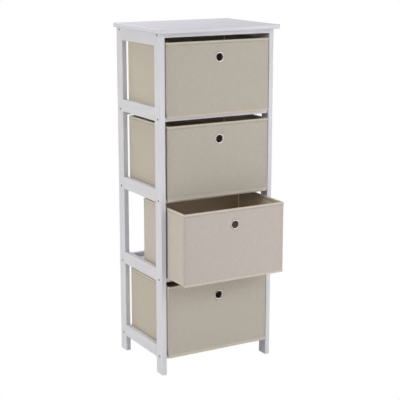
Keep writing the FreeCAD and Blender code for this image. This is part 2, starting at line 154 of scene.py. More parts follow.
# %% Lay a floor that looks white
FLOOR_REACH = 40
FLOOR_PALE = chip(240, 240, 240)
FLOOR_DARK = chip(0, 0, 0)
NEUTRAL_LIGHT = chip(255, 255, 255)


def seen_by_camera(tree):
    """1 for what the camera sees, 0 for light on its way to the object."""
    return add(tree, "ShaderNodeLightPath").outputs["Is Camera Ray"]


floor_bm = bmesh.new()
bmesh.ops.create_grid(floor_bm, x_segments=1, y_segments=1, size=FLOOR_REACH)
floor_mesh = bpy.data.meshes.new("studio_floor")
floor_bm.to_mesh(floor_mesh)
floor_bm.free()
floor = bpy.data.objects.new("studio_floor", floor_mesh)
scene.collection.objects.link(floor)
floor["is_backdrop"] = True
floor_material, floor_tree, floor_shader = new_material("studio_floor")
seen = seen_by_camera(floor_tree)
floor_colour = blend_colours(floor_tree, seen, FLOOR_PALE, FLOOR_DARK)
floor_tree.links.new(floor_colour, floor_shader.inputs["Base Color"])
floor_shader.inputs["Roughness"].default_value = 1
floor_shader.inputs["Specular IOR Level"].default_value = 0
floor_shader.inputs["Emission Color"].default_value = NEUTRAL_LIGHT
floor_tree.links.new(seen, floor_shader.inputs["Emission Strength"])
floor_mesh.materials.append(floor_material)
print("floor:", 2 * FLOOR_REACH, "m across")

# %% Fill the air with light
WORLD_LIGHT = 0.426
CREAM_LIGHT = chip(255, 253, 250)

world = bpy.data.worlds.new("studio_air")
world.use_nodes = True
air = world.node_tree.nodes["Background"]
air_seen = seen_by_camera(world.node_tree)
air_colour = blend_colours(world.node_tree, air_seen, CREAM_LIGHT, NEUTRAL_LIGHT)
world.node_tree.links.new(air_colour, air.inputs["Color"])
air_glow = calc(world.node_tree, "MULTIPLY", air_seen, 1 - WORLD_LIGHT)
air_light = calc(world.node_tree, "ADD", air_glow, WORLD_LIGHT)
world.node_tree.links.new(air_light, air.inputs["Strength"])
scene.world = world
print("world light:", WORLD_LIGHT)

# %% Hang the lamps
LAMP_AIM = (0, 0, 0.5)
WARM_LIGHT = chip(255, 254, 241)
LILAC_LIGHT = chip(255, 248, 255)
SKY_LIGHT = chip(234, 242, 255)
# Kind, place, spread, power, colour. A lamp spreads over metres and has watts. The sun is too far off for
# either: it spreads over an angle, in radians, and has watts per square metre.
LAMPS = {
    "left_window": ("AREA", (-3.0, -0.3, 1.5), 1.4, 35.4, WARM_LIGHT),
    "top_back_lamp": ("AREA", (-0.3, 0.9, 2.3), 0.9, 16.8, LILAC_LIGHT),
    "low_front_lamp": ("AREA", (1.2, -1.8, 0.5), 0.9, 10, CREAM_LIGHT),
    "high_front_lamp": ("AREA", (1.0, -1.9, 1.6), 0.8, 8.6, NEUTRAL_LIGHT),
    "right_back_fill": ("AREA", (2.0, 2.3, 0.5), 0.7, 22, NEUTRAL_LIGHT),
    "front_sky": ("SUN", (0, -2.0, 2.18), 0.4, 0.343, SKY_LIGHT),
}


def hang_lamp(name, kind, place, spread, power, colour):
    """Add a lamp that points at the middle of the tower."""
    lamp_data = bpy.data.lights.new(name, kind)
    if kind == "SUN":
        lamp_data.angle = spread
    else:
        lamp_data.size = spread
    lamp_data.energy = power
    lamp_data.color = colour[:3]
    lamp = bpy.data.objects.new(name, lamp_data)
    lamp.location = place
    lamp.rotation_euler = (Vector(LAMP_AIM) - Vector(place)).to_track_quat("-Z", "Y").to_euler()
    scene.collection.objects.link(lamp)


for lamp_name, settings in LAMPS.items():
    hang_lamp(lamp_name, *settings)
print("lamps:", ", ".join(LAMPS))

# %% [markdown]
# ## White paint on timber
#
# Sprayed paint isn't one flat white. The grain telegraphs through it as faint streaks along each board,
# and the film has a fine orange-peel skin. Both come from noise: the streaks from noise that is squeezed
# across the grain, the skin from noise as fine as the paint drops. Every board uses the same effect, so
# it is a node group, and each of the three grain directions turns the pattern with a Mapping node before
# the group reads it.

# %% Build the paint effect
def make_group(name, inputs, outputs):
    """An empty shader node group with its sockets, and its two end nodes."""
    group = bpy.data.node_groups.new(name, "ShaderNodeTree")
    for socket, kind in inputs.items():
        group.interface.new_socket(socket, in_out="INPUT", socket_type=kind)
    for socket in outputs:
        group.interface.new_socket(socket, in_out="OUTPUT", socket_type="NodeSocketFloat")
    return group, group.nodes.new("NodeGroupInput"), group.nodes.new("NodeGroupOutput")


PLAIN_DETAIL = 3.0


def noise_layer(tree, vector, stretch, detail=PLAIN_DETAIL):
    """Noise with its own stretch along each axis, in waves per metre. More detail adds finer waves."""
    squeezed = add(tree, "ShaderNodeMapping", {"Vector": vector, "Scale": stretch})
    inputs = {"Vector": squeezed.outputs["Vector"], "Scale": 1.0, "Detail": detail}
    return add(tree, "ShaderNodeTexNoise", inputs).outputs["Fac"]


GRAIN_STRETCH = (5, 190, 190)
GRAIN_DETAIL = 4.0
CLOUD_STRETCH = (7, 7, 7)
SKIN_STRETCH = (650, 650, 650)
SKIN_DETAIL = 1.0
SKIN_SHARE = 0.35

paint_group, paint_in, paint_out = make_group(
    "paint_over_grain", {"Vector": "NodeSocketVector"}, ("Streaks", "Clouds", "Height"))
paint_place = paint_in.outputs["Vector"]
streaks = noise_layer(paint_group, paint_place, GRAIN_STRETCH, GRAIN_DETAIL)
clouds = noise_layer(paint_group, paint_place, CLOUD_STRETCH)
skin = noise_layer(paint_group, paint_place, SKIN_STRETCH, SKIN_DETAIL)
paint_height = calc(paint_group, "ADD", streaks, calc(paint_group, "MULTIPLY", skin, SKIN_SHARE))
paint_group.links.new(streaks, paint_out.inputs["Streaks"])
paint_group.links.new(clouds, paint_out.inputs["Clouds"])
paint_group.links.new(paint_height, paint_out.inputs["Height"])
print("effect:", paint_group.name)

# %% Paint every board, with its grain along its length
PAINT_LIGHT = chip(214, 214, 221)
PAINT_DEEP = chip(206, 206, 214)
PAINT_ROUGHNESS = (0.42, 0.56)
PAINT_BUMP = 0.25
PAINT_BUMP_DEPTH = 0.0002
STREAK_SHARE = 0.6
CLOUD_SHARE = 0.4
# A span is the part of a noise's range that is stretched over the whole effect. A narrow one gives more
# contrast.
PAINT_SPAN = (0.36, 0.64)
NOISE_SPAN = (0.3, 0.7)
GRAIN_TURNS = {
    "upright": (0, math.pi / 2, 0),
    "deep": (0, 0, math.pi / 2),
    "wide": (0, 0, 0),
}


def map_range(tree, value, span, target=(0, 1)):
    """Stretch one span of numbers over another, and cut off what lies beyond it."""
    low, high = span
    sockets = {"Value": value, "From Min": low, "From Max": high, "To Min": target[0], "To Max": target[1]}
    return add(tree, "ShaderNodeMapRange", sockets).outputs[0]


def add_bump(tree, shader, height, strength, depth):
    """Let a pattern of heights tilt the light on a surface. The depth is in metres."""
    bump = add(tree, "ShaderNodeBump", {"Height": height, "Strength": strength, "Distance": depth})
    tree.links.new(bump.outputs["Normal"], shader.inputs["Normal"])


def white_paint(direction):
    """Paint for the boards whose grain runs in one direction."""
    material, tree, shader = new_material(f"white_paint_{direction}")
    place = add(tree, "ShaderNodeTexCoord").outputs["Object"]
    turned = add(tree, "ShaderNodeMapping", {"Vector": place, "Rotation": GRAIN_TURNS[direction]})
    effect = add(tree, "ShaderNodeGroup", node_tree=paint_group)
    tree.links.new(turned.outputs["Vector"], effect.inputs["Vector"])
    streak_part = calc(tree, "MULTIPLY", effect.outputs["Streaks"], STREAK_SHARE)
    cloud_part = calc(tree, "MULTIPLY", effect.outputs["Clouds"], CLOUD_SHARE)
    share = map_range(tree, calc(tree, "ADD", streak_part, cloud_part), PAINT_SPAN)
    tree.links.new(blend_colours(tree, share, PAINT_LIGHT, PAINT_DEEP), shader.inputs["Base Color"])
    roughness = map_range(tree, effect.outputs["Clouds"], NOISE_SPAN, PAINT_ROUGHNESS)
    tree.links.new(roughness, shader.inputs["Roughness"])
    add_bump(tree, shader, effect.outputs["Height"], PAINT_BUMP, PAINT_BUMP_DEPTH)
    return material


def dress(node_name, material):
    """Give a CAD node one finish, in place of what it had."""
    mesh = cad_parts[node_name].data
    mesh.materials.clear()
    mesh.materials.append(material)


def main_axis(vector):
    """The axis, from 0 to 2, along which a vector reaches furthest."""
    return max(range(3), key=lambda axis: abs(vector[axis]))


def board_direction(node_name):
    """The direction of a board's longest side."""
    low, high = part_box(node_name)
    return ("wide", "deep", "upright")[main_axis(high - low)]


paints = {direction: white_paint(direction) for direction in GRAIN_TURNS}
BOARD_WORDS = ("post", "rail", "shelf", "stretcher", "panel")
boards = [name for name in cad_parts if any(word in name for word in BOARD_WORDS)]
for board in boards:
    dress(board, paints[board_direction(board)])
print("painted boards:", len(boards))

# %% [markdown]
# ## Metal: eyelets and screws
#
# The eyelets are pressed from sheet and nickel plated: bright, a little warm, and softened by the
# brushing before plating. The screws are dark zinc. A metal shows mostly what it reflects, so its looks
# come from how rough it is, and fine noise in the roughness keeps the reflection from being as clean as
# a mirror's.

# %% Finish the metal pieces
NICKEL = chip(192, 187, 187)
NICKEL_ROUGHNESS = (0.32, 0.48)
ZINC = chip(96, 96, 102)
ZINC_ROUGHNESS = (0.35, 0.5)
BRUSH_STRETCH = (900, 250, 900)
BRUSH_DETAIL = 2.0
BRUSH_BUMP = 0.1
BRUSH_BUMP_DEPTH = 0.0001


def plated_metal(name, colour, roughness):
    """Metal whose roughness varies with a fine brushed pattern."""
    material, tree, shader = new_material(name)
    shader.inputs["Base Color"].default_value = colour
    shader.inputs["Metallic"].default_value = 1
    place = add(tree, "ShaderNodeTexCoord").outputs["Object"]
    brushing = noise_layer(tree, place, BRUSH_STRETCH, BRUSH_DETAIL)
    tree.links.new(map_range(tree, brushing, NOISE_SPAN, roughness), shader.inputs["Roughness"])
    add_bump(tree, shader, brushing, BRUSH_BUMP, BRUSH_BUMP_DEPTH)
    return material


nickel = plated_metal("bright_nickel", NICKEL, NICKEL_ROUGHNESS)
dark_zinc = plated_metal("dark_zinc", ZINC, ZINC_ROUGHNESS)
eyelet_nodes = [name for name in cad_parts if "eyelet" in name]
screw_nodes = [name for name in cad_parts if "screws" in name]
for node in eyelet_nodes:
    dress(node, nickel)
for node in screw_nodes:
    dress(node, dark_zinc)
print("metal nodes:", len(eyelet_nodes), "of nickel,", len(screw_nodes), "of zinc")

# %% [markdown]
# ## Board and dowels
#
# Grey-brown board stiffens each box, and beech dowels pin the timber. The cloth and the timber hide
# both, but someone may take the part to pieces, so they get a true finish: flecks in the board, straight
# grain in the beech.

# %% Finish the hidden pieces
FLECK_DETAIL = 5.0
FLECK_SPAN = (0.35, 0.65)
FLECK_BUMP = 0.3
FLECK_BUMP_DEPTH = 0.0002
# Light colour, dark colour, flecks per metre along each axis, roughness.
GREY_BOARD = (chip(178, 166, 150), chip(150, 137, 120), (260, 260, 260), 0.95)
BEECH = (chip(214, 184, 146), chip(188, 152, 112), (700, 60, 700), 0.7)


def flecked(name, light, dark, stretch, roughness):
    """A dull material that varies between two colours."""
    material, tree, shader = new_material(name)
    place = add(tree, "ShaderNodeTexCoord").outputs["Object"]
    flecks = noise_layer(tree, place, stretch, FLECK_DETAIL)
    share = map_range(tree, flecks, FLECK_SPAN)
    tree.links.new(blend_colours(tree, share, light, dark), shader.inputs["Base Color"])
    shader.inputs["Roughness"].default_value = roughness
    add_bump(tree, shader, flecks, FLECK_BUMP, FLECK_BUMP_DEPTH)
    return material


grey_board = flecked("grey_board", *GREY_BOARD)
beech = flecked("beech", *BEECH)
stiffener_nodes = [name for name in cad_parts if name.endswith("_board")]
for node in stiffener_nodes:
    dress(node, grey_board)
dress("wood_dowels", beech)
print("hidden nodes:", len(stiffener_nodes), "boards and the dowels")

# %% [markdown]
# ## Linen-look cloth
#
# The cloth is a plain weave of uneven, undyed yarn. Thick places in the yarn, called slubs, run as short
# streaks both ways. The weave could be a picture, but a formula stays sharp at any distance: two sine
# waves are the two sets of threads, and the sign of their product says which thread passes over. Long
# thin noise makes the slubs. The cloth reads a UV map in metres, so that the threads follow each panel.
# Where it is doubled at a hem it looks lighter. Painted shade darkens it along a seam groove and in the
# crease of each upright edge, a painted highlight lightens the fold at its foot, and painted light makes the
# side walls a touch lighter than the front. A number on each vertex, the tone, carries all that to the
# material, and a second number says where the browner lining is. The open box's cloth is a little paler and
# less yellow than the others'. The tape in the lining's corners is pale and glows a little, as painted
# light: no board stands there, so daylight comes through the cloth.

# %% Build the weave effect
CENTIMETRE = 0.01
THREAD_PITCH = 0.0009
THREAD_LEVEL = 0.6
CROSSING_LIFT = 0.4
SLUB_LONG = 55
SLUB_FINE = 700

weave, weave_in, weave_out = make_group(
    "plain_weave", {"Vector": "NodeSocketVector"}, ("Height", "Slubs"))
threads = add(weave, "ShaderNodeMapping",
              {"Vector": weave_in.outputs["Vector"], "Scale": (1 / THREAD_PITCH, 1 / THREAD_PITCH, 1)})
across = add(weave, "ShaderNodeSeparateXYZ", {"Vector": threads.outputs["Vector"]})
warp = calc(weave, "SINE", calc(weave, "MULTIPLY", across.outputs["X"], math.pi))
weft = calc(weave, "SINE", calc(weave, "MULTIPLY", across.outputs["Y"], math.pi))
over = calc(weave, "MULTIPLY", calc(weave, "MULTIPLY", warp, weft), CROSSING_LIFT)
warp_level = calc(weave, "ADD", THREAD_LEVEL, over)
weft_level = calc(weave, "SUBTRACT", THREAD_LEVEL, over)
warp_height = calc(weave, "MULTIPLY", calc(weave, "ABSOLUTE", warp), warp_level)
weft_height = calc(weave, "MULTIPLY", calc(weave, "ABSOLUTE", weft), weft_level)
cloth_height = calc(weave, "MAXIMUM", warp_height, weft_height)
level_slubs = noise_layer(weave, weave_in.outputs["Vector"], (SLUB_LONG, SLUB_FINE, 1))
upright_slubs = noise_layer(weave, weave_in.outputs["Vector"], (SLUB_FINE, SLUB_LONG, 1))
slubs = calc(weave, "DIVIDE", calc(weave, "ADD", level_slubs, upright_slubs), 2)
weave.links.new(calc(weave, "ADD", cloth_height, slubs), weave_out.inputs["Height"])
weave.links.new(slubs, weave_out.inputs["Slubs"])
print("effect:", weave.name, "with", round(CENTIMETRE / THREAD_PITCH), "threads per cm")

# %% Colour the cloth, with painted shade at seams and creases and painted light on its sides
BOX_NUMBERS = (1, 2, 3, 4)
OPEN_BOX = 3
CLOTH_PANEL = chip(185, 178, 167)
# The open box's cloth is a little paler and less yellow than the others'.
CLOTH_OPEN_BOX = chip(192, 184, 177)
CLOTH_LINING = chip(206, 189, 168)
# Painted shade, the dark end of the tone, for seam grooves and creased corners.
SEAM_AND_CREASE_PAINTED_SHADE = (0.8, 0.8, 0.8)
# Lighter cloth of the rim hem; the fold at the foot takes the same colour as a painted highlight.
RIM_HEM_AND_FOOT_HIGHLIGHT_SHADE = (1.22, 1.22, 1.16)
FRONT_HEM_SHADE = (1.23, 1.16, 1.12)
TONE_PANEL = 0.5
TONE_RIM_HEM_AND_FOOT_HIGHLIGHT = 0.75
TONE_FRONT_HEM = 1.0
SLUB_SPAN = (0.38, 0.62)
SLUB_SHADES = (0.93, 1.05)
CLOTH_ROUGHNESS = 0.95
CLOTH_SPECULAR = 0.2
CLOTH_SHEEN = 0.1
CLOTH_BUMP = 0.5
CLOTH_BUMP_DEPTH = 0.0002


def shaded(colour, shade):
    """A colour with each of its channels made lighter or darker."""
    return (*(channel * share for channel, share in zip(colour, shade)), 1)


def linen(name, panel):
    """Woven cloth of one colour, with its seams, hems and lining."""
    material, tree, shader = new_material(name)
    effect = add(tree, "ShaderNodeGroup", node_tree=weave)
    tree.links.new(add(tree, "ShaderNodeTexCoord").outputs["UV"], effect.inputs["Vector"])
    tone = add(tree, "ShaderNodeAttribute", attribute_name="tone").outputs["Fac"]
    ramp = add(tree, "ShaderNodeValToRGB", {"Fac": tone})
    # The dark end is painted shade, for seam grooves and creases.
    ramp.color_ramp.elements[0].color = shaded(panel, SEAM_AND_CREASE_PAINTED_SHADE)
    ramp.color_ramp.elements[1].color = shaded(panel, FRONT_HEM_SHADE)
    ramp.color_ramp.elements.new(TONE_PANEL).color = panel
    # The rim hem's colour, which is also the painted highlight on the fold at the foot.
    ramp.color_ramp.elements.new(TONE_RIM_HEM_AND_FOOT_HIGHLIGHT).color = shaded(panel, RIM_HEM_AND_FOOT_HIGHLIGHT_SHADE)
    inside = add(tree, "ShaderNodeAttribute", attribute_name="inside").outputs["Fac"]
    colour_and_painted_light = blend_colours(tree, inside, ramp.outputs["Color"], CLOTH_LINING)
    slub_shade = map_range(tree, effect.outputs["Slubs"], SLUB_SPAN, SLUB_SHADES)
    slubbed = add(tree, "ShaderNodeVectorMath", {0: colour_and_painted_light, "Scale": slub_shade}, operation="SCALE")
    tree.links.new(slubbed.outputs[0], shader.inputs["Base Color"])
    shader.inputs["Roughness"].default_value = CLOTH_ROUGHNESS
    shader.inputs["Specular IOR Level"].default_value = CLOTH_SPECULAR
    shader.inputs["Sheen Weight"].default_value = CLOTH_SHEEN
    add_bump(tree, shader, effect.outputs["Height"], CLOTH_BUMP, CLOTH_BUMP_DEPTH)
    return material


box_cloth = dict.fromkeys(BOX_NUMBERS, linen("natural_linen", CLOTH_PANEL))
box_cloth[OPEN_BOX] = linen("natural_linen_open_box", CLOTH_OPEN_BOX)
print("cloth:", sorted({material.name for material in box_cloth.values()}))

# %% Colour the sewing thread and the tape, whose pale colour and glow are painted light
# Light colour, dark colour, flecks per metre along each axis, roughness.
SEWING_THREAD = (chip(194, 186, 172), chip(178, 169, 154), (2500, 2500, 2500), 0.8)
# The tape's pale colours and its glow are painted light, for daylight that comes through the corner seams
# where no board stands.
SEAM_TAPE_PAINTED_LIGHT = (chip(240, 210, 160), chip(222, 190, 140), (900, 900, 900), 0.9)
TAPE_PAINTED_GLOW_COLOUR = chip(226, 196, 148)
TAPE_PAINTED_GLOW = 0.22

sewing_thread = flecked("sewing_thread", *SEWING_THREAD)
seam_tape_painted_glow = flecked("seam_tape_painted_glow", *SEAM_TAPE_PAINTED_LIGHT)
tape_shader = seam_tape_painted_glow.node_tree.nodes["Principled BSDF"]
tape_shader.inputs["Emission Color"].default_value = TAPE_PAINTED_GLOW_COLOUR
tape_shader.inputs["Emission Strength"].default_value = TAPE_PAINTED_GLOW
print("for the seams:", sewing_thread.name, "and", seam_tape_painted_glow.name)

# %% [markdown]
# ## The sewn box
#
# Each box is one bag of cloth over five boards: up the outside, over the rim and down again as the
# lining. It could be made from five plates, but then it would have no folded rim and no hem. Here one
# rounded rectangle is extruded ring by ring along the whole path of the cloth, so that the rim's hem is
# a real step in the surface. The ring's edges at the rim and the foot are bevelled, because folded cloth
# is never sharp. No two boxes hang alike: the sides of a closed box may bow out, and a front hem may
# sag.

# %% Extrude the box along the path of its cloth
CLOTH = 0.001
CORNER_ROUND = 0.002
CORNER_STEPS = 4
HEM_HEIGHT = 0.008
HEM_PROUD = 0.0003
GROOVE_DEPTH = 0.0002
GROOVE_WIDTH = 0.0012
FOLD_ROUND = 0.0014
FOLD_STEPS = 3
FOOT_FOLD = 0.003
ROUND_PROFILE = 0.5
# For each box, how far its left and its right wall bow out, and how far its front hem sags.
SIDE_BOWS = {1: (0.0035, 0), 2: (0, 0.0035), 3: (0, 0), 4: (0.0035, 0.0035)}
HEM_SAGS = {1: 0, 2: 0.0035, 3: 0, 4: 0.0055}


class BoxSize:
    """Where the CAD put one box: its outer walls, rim, underside, lining and eyelet. Also how it hangs."""

    def __init__(self, number):
        self.low, self.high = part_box(f"drawer_{number}_fabric_cover")
        base_low, base_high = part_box(f"drawer_{number}_base_board")
        eyelet_low, eyelet_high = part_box(f"drawer_{number}_eyelet")
        self.foot = base_low.z - CLOTH
        self.floor = base_high.z + CLOTH
        self.rim = self.high.z
        self.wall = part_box(f"drawer_{number}_eyelet_washer")[0].y - self.low.y
        self.middle = (self.low + self.high) / 2
        self.half = (self.high - self.low) / 2
        self.eyelet = (eyelet_low + eyelet_high) / 2
        self.bows = SIDE_BOWS[number]
        self.hem_low = self.low.z - HEM_SAGS[number]


def cloth_path(box):
    """Height and inset of each ring: outside, rim, lining, down to the lining's floor."""
    rim_seam = box.rim - HEM_HEIGHT
    return [
        (box.foot, 0),
        (box.foot + FOOT_FOLD, 0),
        (rim_seam - GROOVE_WIDTH, 0),
        (rim_seam, GROOVE_DEPTH),
        (rim_seam, -HEM_PROUD),
        (box.rim, -HEM_PROUD),
        (box.rim, box.wall + HEM_PROUD),
        (rim_seam, box.wall + HEM_PROUD),
        (rim_seam, box.wall - GROOVE_DEPTH),
        (rim_seam - GROOVE_WIDTH, box.wall),
        (box.floor, box.wall),
    ]


def round_off(bm, geom, radius, steps, affect="EDGES"):
    """Round some edges, or the corners of a flat outline, in a few steps."""
    bmesh.ops.bevel(bm, geom=geom, offset=radius, offset_type="OFFSET", segments=steps,
                    profile=ROUND_PROFILE, affect=affect, material=-1)


def extrude_box(box):
    """The whole cover, extruded ring by ring along the path of its cloth."""
    bm = bmesh.new()
    bmesh.ops.create_grid(bm, x_segments=1, y_segments=1, size=1)
    path = cloth_path(box)
    height, inset = path[0]
    bmesh.ops.scale(bm, vec=(box.half.x - inset, box.half.y - inset, 1), verts=bm.verts)
    round_off(bm, bm.verts[:], CORNER_ROUND, CORNER_STEPS, affect="VERTICES")
    bmesh.ops.translate(bm, vec=(box.middle.x, box.middle.y, height), verts=bm.verts)
    underside = bm.faces[:]
    cap = underside
    about_middle = Matrix.Translation((-box.middle.x, -box.middle.y, 0))
    folds = list(bm.edges)
    for next_height, next_inset in path[1:]:
        grown = bmesh.ops.extrude_face_region(bm, geom=cap)["geom"]
        if cap is not underside:
            bmesh.ops.delete(bm, geom=cap, context="FACES_ONLY")
        cap = [part for part in grown if isinstance(part, bmesh.types.BMFace)]
        ring = [part for part in grown if isinstance(part, bmesh.types.BMVert)]
        ratio = [(side - next_inset) / (side - inset) for side in (box.half.x, box.half.y)]
        bmesh.ops.scale(bm, vec=(*ratio, 1), space=about_middle, verts=ring)
        bmesh.ops.translate(bm, vec=(0, 0, next_height - height), verts=ring)
        height, inset = next_height, next_inset
        if height == box.rim:
            folds += cap[0].edges
    round_off(bm, folds, FOLD_ROUND, FOLD_STEPS)
    bmesh.ops.recalc_face_normals(bm, faces=bm.faces)
    return bm


first_box = BoxSize(1)
trial = extrude_box(first_box)
print("a trial box before it is divided:", len(trial.faces), "faces")

# %% [markdown]
# ## Stitch lines, puckers and tone
#
# A seam pulls the cloth in and makes it pucker on both sides, and between the seams the cloth isn't
# quite flat. For that the panels need more points. Planes cut the columns where the upright stitch lines
# run, and the long edges are then divided evenly. Each point of a panel moves a fraction of a millimetre
# along its normal: nothing at a seam or under the eyelet, which hold the cloth down, and most in
# between. Blender's own noise gives the same wrinkles on every run. The bow of a side wall is a larger
# move of the same kind, and fades towards the corners and the foot.

# %% Divide the panels
SEAM_INSET = 0.008
COLUMN_SPACING = 0.0035
ROW_SPACING = 0.009


def divide_panels(bm, box):
    """Cut the columns of the stitch lines, and then divide every edge that is still long."""
    for axis in (0, 1):
        for side in (-1, 1):
            for step in (-GROOVE_WIDTH, 0, GROOVE_WIDTH):
                spot = box.middle.copy()
                spot[axis] += side * (box.half[axis] - SEAM_INSET + step)
                direction = Vector((0, 0, 0))
                direction[axis] = 1
                bmesh.ops.bisect_plane(bm, geom=bm.verts[:] + bm.edges[:] + bm.faces[:],
                                       plane_co=spot, plane_no=direction)
    for axis, spacing in enumerate((COLUMN_SPACING, COLUMN_SPACING, ROW_SPACING)):
        long_edges = []
        for edge in bm.edges:
            step = edge.verts[1].co - edge.verts[0].co
            if abs(step[axis]) > box.half[axis]:
                long_edges.append(edge)
        cuts = round(2 * box.half[axis] / spacing) - 1
        bmesh.ops.subdivide_edges(bm, edges=long_edges, cuts=cuts, use_grid_fill=True)


divide_panels(trial, first_box)
print("the trial box, divided:", len(trial.faces), "faces")

# %% Work out the wrinkles
WRINKLE_HEIGHT = 0.0006
WRINKLE_FADE = 0.025
WRINKLES_PER_METRE = 16
PUCKER_HEIGHT = 0.00022
PUCKER_REACH = 0.005
PUCKER_LENGTH = 0.014
PUCKER_DRIFT = 3
PUCKER_DRIFTS_PER_METRE = 32
EYELET_HOLD = 0.016
EYELET_FADE = 0.02
# How far a normal may lean along z on an upright panel, and how far along both x and y it has to lean in a
# crease.
LEVEL_NORMAL = 0.1
CREASE_NORMAL = 0.2
MILLIMETRES = 1000


def ease(share):
    """A share from 0 to 1 with soft ends."""
    share = min(max(share, 0), 1)
    return share * share * (3 - 2 * share)


class Spot:
    """Where a point of the cloth is: on which panel, inside or out, and how far from the seams."""

    def __init__(self, box, point, normal):
        self.point = point
        self.along = 1 if abs(normal.x) > abs(normal.y) else 0
        self.is_outside = normal.dot(point - box.middle) > 0
        self.is_crease = min(abs(normal.x), abs(normal.y)) > CREASE_NORMAL
        self.is_rim_hem = box.rim - point.z < HEM_HEIGHT - GROOVE_WIDTH / 2
        self.is_foot_fold_painted_highlight = point.z - box.foot < FOOT_FOLD / 2
        self.from_level = min(point.z - box.foot, box.rim - HEM_HEIGHT - point.z)
        from_middle = abs(point[self.along] - box.middle[self.along])
        self.from_upright = box.half[self.along] - SEAM_INSET - from_middle
        self.from_eyelet = math.inf
        if point.y < box.low.y + 2 * box.wall:
            self.from_eyelet = math.hypot(point.x - box.eyelet.x, point.z - box.eyelet.z)


def panel_shift(spot):
    """How far a point of a panel stands off the flat board, out of wrinkles and puckers."""
    if spot.is_outside and abs(spot.from_upright) < GROOVE_WIDTH / 2 and spot.from_level > 0:
        return -GROOVE_DEPTH
    distance = min(spot.from_level, spot.from_upright)
    if distance <= 0:
        return 0
    travel = spot.point[spot.along] if distance == spot.from_level else spot.point.z
    hold = ease((spot.from_eyelet - EYELET_HOLD) / EYELET_FADE)
    wrinkle = WRINKLE_HEIGHT * ease(distance / WRINKLE_FADE) * noise.noise(spot.point * WRINKLES_PER_METRE)
    reach = distance / PUCKER_REACH
    drift = PUCKER_DRIFT * noise.noise(spot.point * PUCKER_DRIFTS_PER_METRE)
    wave = math.sin(travel / PUCKER_LENGTH * math.tau + drift)
    return hold * (wrinkle + PUCKER_HEIGHT * reach * math.exp(1 - reach) * wave)


trial.normal_update()
panel_points = [vert for vert in trial.verts if abs(vert.normal.z) < LEVEL_NORMAL]
shifts = [panel_shift(Spot(first_box, vert.co, vert.normal)) * MILLIMETRES for vert in panel_points]
print("wrinkles from", round(min(shifts), 2), "to", round(max(shifts), 2), "mm")

# %% Wrinkle, shade and bow the panels
BOW_FADE_CORNER = 0.012
BOW_FADE_FOOT = 0.02
# The seam and crease tones are painted shade, and the side tone is painted light that makes the side walls a
# touch lighter.
TONE_SEAM_PAINTED_SHADE = 0.45
TONE_CREASE_PAINTED_SHADE = 0.1
TONE_SIDE_PAINTED_LIGHT = 0.557


def cloth_tone(spot):
    """Lighter on the rim hem; painted highlight on the foot fold; painted shade along seams and in creases;
    painted light on the side walls.
    """
    # The rim hem is doubled cloth; at the foot the same lighter tone is a painted highlight on the fold.
    if spot.is_rim_hem or spot.is_foot_fold_painted_highlight:
        return TONE_RIM_HEM_AND_FOOT_HIGHLIGHT
    # Painted shade in the crease of an upright corner.
    if spot.is_crease:
        return TONE_CREASE_PAINTED_SHADE
    # Painted shade along the groove of a seam.
    if min(abs(spot.from_level), abs(spot.from_upright)) < GROOVE_WIDTH / 2:
        return TONE_SEAM_PAINTED_SHADE
    # The side walls get painted light: a touch lighter than the front and back.
    return TONE_SIDE_PAINTED_LIGHT if spot.along == 1 else TONE_PANEL


def bow_sides(bm, box):
    """Push the outside of the side walls out, and leave the lining where it is."""
    for vert in bm.verts:
        off_middle = vert.co.x - box.middle.x
        through_wall = (abs(off_middle) - box.half.x) / box.wall + 1
        from_corner = min(vert.co.y - box.low.y, box.high.y - vert.co.y)
        bow = box.bows[0] if off_middle < 0 else box.bows[1]
        bow *= min(max(through_wall, 0), 1)
        bow *= ease(from_corner / BOW_FADE_CORNER) * ease((vert.co.z - box.foot) / BOW_FADE_FOOT)
        vert.co.x += math.copysign(bow, off_middle)


def wrinkle_box(bm, box):
    """Mark the tone of every point, move the points of the panels, and bow the sides."""
    bm.normal_update()
    tone_layer = bm.verts.layers.float.new("tone")
    inside_layer = bm.verts.layers.float.new("inside")
    for vert in bm.verts:
        spot = Spot(box, vert.co.copy(), vert.normal)
        vert[tone_layer] = cloth_tone(spot)
        vert[inside_layer] = 0 if spot.is_outside or spot.point.z > box.rim - FOLD_ROUND else 1
        if abs(vert.normal.z) < LEVEL_NORMAL:
            vert.co += vert.normal * panel_shift(spot)
    bow_sides(bm, box)


wrinkle_box(trial, first_box)
bow_left = first_box.low.x - min(vert.co.x for vert in trial.verts)
print("the trial box bows out to the left by", round(bow_left * MILLIMETRES, 1), "mm")
trial.free()

# %% [markdown]
# ## Finger hole, cloth threads and the four boxes
#
# The finger hole goes through the outside, the board and the lining. Cutting it with a round bar and the
# Boolean modifier is the surest way, and the result is applied, so nothing live is left on the piece.
# The UV map is laid out panel by panel in metres, as cloth is cut: a front face takes x and z, a side y
# and z, a level face x and y.

# %% Make the four covers
FINGER_HOLE_RADIUS = 0.0108
HOLE_OVERRUN = 0.01
HOLE_SIDES = 64


def lay_threads(bm):
    """A UV map in metres, panel by panel, for the weave."""
    uv = bm.loops.layers.uv.new("threads")
    for face in bm.faces:
        face.smooth = True
        across, up = ((1, 2), (0, 2), (0, 1))[main_axis(face.normal)]
        for loop in face.loops:
            loop[uv].uv = (loop.vert.co[across], loop.vert.co[up])


def new_piece(name, bm, material, body):
    """Turn a bmesh into a piece of the object that rides on a CAD body."""
    mesh = bpy.data.meshes.new(name)
    bm.to_mesh(mesh)
    bm.free()
    mesh.materials.append(material)
    piece = bpy.data.objects.new(name, mesh)
    scene.collection.objects.link(piece)
    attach(piece, body)
    return piece


